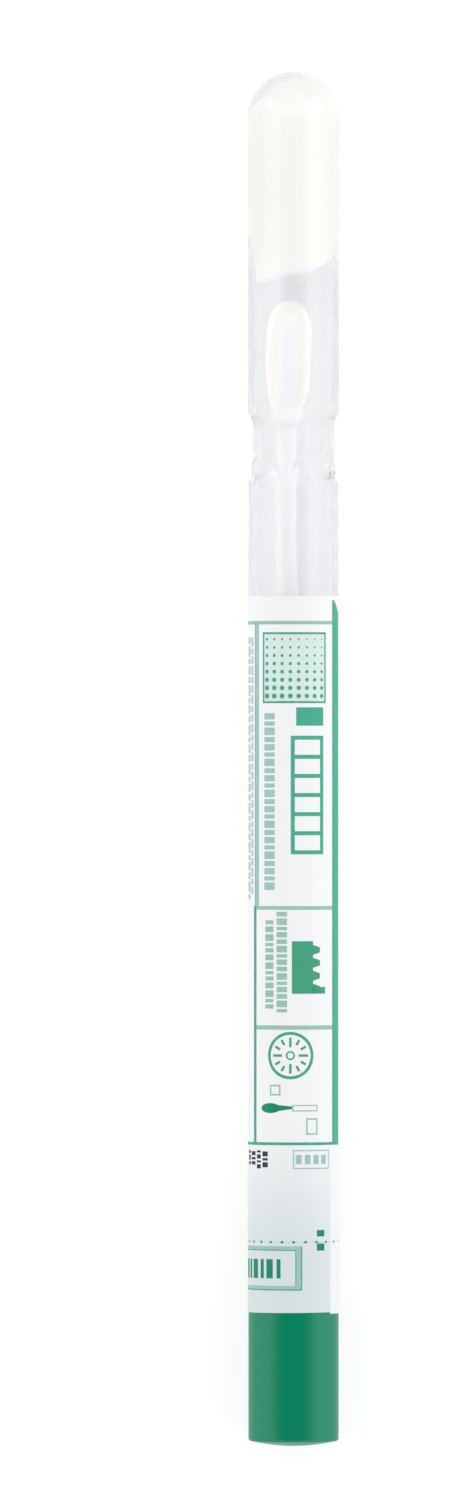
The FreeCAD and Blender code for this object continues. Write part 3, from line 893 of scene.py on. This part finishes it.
def inks():
    """The label's inks, in the order of their numbers."""
    return [printed_ink("bar_green", (0.055, 0.363, 0.249), (0.117, 0.445, 0.332)),
            printed_ink("line_green", (0.045, 0.33, 0.23), (0.20, 0.50, 0.40)),
            printed_ink("pale_green", (0.30, 0.49, 0.454), (0.50, 0.605, 0.589)),
            printed_ink("dark_green", (0.006, 0.225, 0.125), (0.05, 0.32, 0.22)),
            printed_ink("tint_grey", (0.42, 0.49, 0.49), (0.58, 0.64, 0.64)),
            printed_ink("code_black", (0.03, 0.035, 0.04), (0.22, 0.24, 0.26)),
            printed_ink("panel_tint", (0.60, 0.73, 0.69), (0.70, 0.78, 0.76)),
            printed_ink("divider_green", (0.28, 0.478, 0.42), (0.45, 0.57, 0.53)),
            printed_ink("block_green", (0.050, 0.315, 0.185), (0.080, 0.35, 0.22))]


def on_film(around_mm, along):
    """Top and underside of an ink patch: grids of places round and along the film, laid just proud of it."""
    angle = around_mm / LABEL_R
    radius = film_radius(np.mod(angle - FLAP_EDGE, 2 * math.pi))
    return slab(on_tube(angle, along, radius + 0.010), on_tube(angle, along, radius - 0.006))


def patch(a, b, c, d):
    """Ink patch between four corners (around, along), in order round it: straight lines between its sides."""
    a, b, c, d = (np.array(corner, float) for corner in (a, b, c, d))
    columns = 2 + int(max(abs(b[0] - a[0]), abs(c[0] - d[0])) / 0.22)
    s, t = np.linspace(0, 1, columns)[None, :], np.linspace(0, 1, 3)[:, None]
    grid = [(1 - t) * ((1 - s) * a[k] + s * b[k]) + t * ((1 - s) * d[k] + s * c[k]) for k in range(2)]
    return on_film(*grid)


def box(left, right, low, high):
    """Straight-sided ink patch."""
    return patch((left, low), (right, low), (right, high), (left, high))


def frame_of(left, right, low, high, line):
    """Outlined ink box: four strips that meet at its corners."""
    inner_low, inner_high = low + line, high - line
    return [box(left, right, low, inner_low), box(left, right, inner_high, high),
            box(left, left + line, inner_low, inner_high), box(right - line, right, inner_low, inner_high)]


def ring_mark(centre, radius, line):
    """Ring of ink: places a radius plus or minus half the line from its centre."""
    turn = np.radians(np.linspace(0, 360, 73))[:, None]
    reach = radius + line * (np.linspace(0, 1, 3)[None, :] - 0.5)
    return on_film(centre[0] + reach * np.cos(turn), centre[1] + reach * np.sin(turn))


def disc_mark(centre, radius_around, radius_along):
    """Solid round of ink: an ellipse as a fan of narrow rings."""
    turn = np.radians(np.linspace(0, 360, 49))[:, None]
    reach = np.linspace(0.02, 1, 5)[None, :]
    return on_film(centre[0] + radius_around * reach * np.cos(turn),
                   centre[1] + radius_along * reach * np.sin(turn))


def dashes(left, right, low, high, lengths, gap):
    """Column of plain dashes in place of small print: lengths are taken in turn, with a gap after each."""
    marks, place, index = [], high, 0
    while place - lengths[index % len(lengths)] > low:
        length = lengths[index % len(lengths)]
        marks.append(box(left, right, place - length, place))
        place -= length + gap
        index += 1
    return marks


def make_print():
    """Generic print: frame, bar, write-in cells, a tick scale, and plain marks in place of words."""
    top = label_high[1]
    marks = []

    def add(ink, shells):
        marks.extend((shell, ink) for shell in (shells if isinstance(shells, list) else [shells]))

    # Frame, bar and dividers
    foot = top - 65.5
    add(BAR, box(5.40, 7.20, foot, top - 2.0))
    add(BAR, patch((5.40, top - 2.0), (7.10, top - 2.0), (5.95, top - 0.6), (5.40, top - 0.5)))
    add(DIVIDER, box(-8.4, 5.40, top - 3.46, top - 3.04))
    add(PALE, box(-5.50, -4.70, top - 37.2, top - 3.40))
    add(LINE, box(-5.52, -5.40, top - 37.2, top - 3.40))
    add(LINE, box(-5.72, -5.20, foot, top - 37.2))
    add(DIVIDER, box(-5.20, 5.40, top - 37.65, top - 37.20))
    add(DIVIDER, box(-5.20, 5.40, top - 52.0, top - 51.50))
    add(LINE, box(-8.4, 7.20, foot - 0.34, foot))

    # Small print at the left edge
    add(GREY, dashes(-7.6, -6.7, top - 36.5, top - 5.0, (0.8, 1.3, 0.6, 1.0), 0.25))
    add(GREY, dashes(-6.4, -5.9, top - 36.5, top - 5.0, (1.1, 0.7, 0.9), 0.25))

    # Tinted panel with a grid of dots that grow towards its foot, a solid tile, and write-in cells
    add(TINT, box(-3.85, 4.05, top - 12.7, top - 4.6))
    add(LINE, frame_of(-4.05, 4.25, top - 12.9, top - 4.4, 0.26))
    for row in range(8):
        for column in range(8):
            size = 0.16 + 0.024 * row - 0.010 * column
            add(LINE, disc_mark((-3.40 + 1.0 * column, top - 5.25 - 0.97 * row), size, size))
    add(BAR, box(0.30, 3.85, top - 15.6, top - 13.4))
    add(BAR, [box(-0.35, 0.13, top - 31.0, top - 16.8), box(3.37, 3.85, top - 31.0, top - 16.8)])
    cell_step = 2.287
    add(BAR, [box(0.13, 3.37, top - 31.0 + cell_step * cell, top - 30.52 + cell_step * cell)
              for cell in range(7)])
    add(PALE, dashes(-3.80, -2.35, top - 36.0, top - 14.1, (0.75, 0.5, 0.9, 0.6), 0.24))

    # Print block with its tick scale
    add(DIVIDER, dashes(-2.10, -0.80, top - 50.7, top - 37.9, (0.55, 0.8, 0.4, 0.65), 0.22))
    add(DIVIDER, dashes(-3.65, -2.50, top - 49.5, top - 38.9, (0.5, 0.7, 0.8, 0.4), 0.24))
    add(BLOCK, box(-0.22, 2.40, top - 47.7, top - 41.4))
    for tick in (0, 1.55, 3.10, 4.65):
        add(BLOCK, patch((2.40, top - 47.7 + tick), (3.35, top - 47.4 + tick),
                         (3.35, top - 46.8 + tick), (2.40, top - 46.5 + tick)))
    add(BLOCK, box(2.40, 4.15, top - 47.7, top - 46.9))

    # Ring dial and swab pictogram
    centre = (-0.40, top - 55.1)
    add(LINE, ring_mark(centre, 2.66, 0.36))
    for step in range(12):
        turn = math.radians(30 * step)
        add(LINE, spoke(centre, 1.45 if step % 3 else 1.0, 2.15, turn, 0.30))
    add(LINE, ring_mark(centre, 0.45, 0.2))
    add(DARK, disc_mark((-2.95, top - 61.4), 1.3, 0.60))
    add(DARK, patch((-2.6, top - 61.85), (-0.2, top - 61.5), (-0.2, top - 61.2), (-2.6, top - 60.95)))
    add(PALE, frame_of(-0.2, 3.0, top - 61.8, top - 61.0, 0.16))
    add(PALE, frame_of(-3.0, -1.6, top - 59.9, top - 58.6, 0.20))
    add(PALE, frame_of(1.5, 3.0, top - 64.6, top - 62.6, 0.20))

    # Short dashes where a lot code goes, a box with four pale squares, and a square at the tear line
    add(BLACK, dashes(-7.3, -6.6, top - 68.8, top - 66.5, (0.35, 0.6), 0.2))
    add(BLACK, dashes(-6.3, -5.4, top - 68.8, top - 66.6, (0.5, 0.3, 0.4), 0.2))
    add(BLACK, dashes(-5.1, -4.4, top - 68.8, top - 66.5, (0.25, 0.5), 0.22))
    add(BLACK, dashes(-4.1, -3.3, top - 68.8, top - 66.6, (0.6, 0.3), 0.2))
    add(PALE, frame_of(-0.10, 4.80, top - 68.7, top - 66.4, 0.15))
    add(PALE, [box(0.25 + 1.1 * cell, 0.95 + 1.1 * cell, top - 68.1, top - 67.0) for cell in range(4)])
    add(DARK, box(2.92, 4.02, label_low[1] + 0.62, label_low[1] + 1.38))
    make_piece("label_print", marks, "tube", [], inks())

    # The cap's stretch: a square at the tear line, a double box, and plain bars
    marks = []
    tear = band_high[1]
    add(DARK, box(2.92, 4.02, tear - 0.98, tear - 0.12))
    for low, line in ((tear - 0.86, 0.42), (tear - 5.60, 0.42)):
        add(PALE, box(-8.4, 0.95, low, low + line))
    add(LINE, box(-8.4, 0.20, tear - 0.98, tear - 0.86))
    add(LINE, box(-8.4, 1.02, tear - 5.74, tear - 5.60))
    add(PALE, box(0.30, 0.86, tear - 5.18, tear - 0.86))
    add(LINE, box(0.86, 1.02, tear - 5.60, tear - 0.44))
    add(LINE, box(0.20, 0.30, tear - 5.18, tear - 0.86))
    for left, right in ((-7.9, -7.1), (-6.7, -6.2), (-5.8, -4.9), (-4.4, -3.9), (-3.5, -2.6), (-2.1, -1.6)):
        add(DARK, box(left, right, tear - 4.3, tear - 2.0))
    make_piece("tear_strip_print", marks, "swab", [], inks())


def spoke(centre, inner, outer, turn, line):
    """Short straight mark that points out from a centre."""
    out = np.array([math.cos(turn), math.sin(turn)])
    side = np.array([-out[1], out[0]]) * line / 2
    middle = np.array(centre)
    return patch(middle + out * inner - side, middle + out * outer - side,
                 middle + out * outer + side, middle + out * inner + side)


make_tube()
make_gel()
make_cap()
make_shaft()
make_tip()
make_label()
make_print()
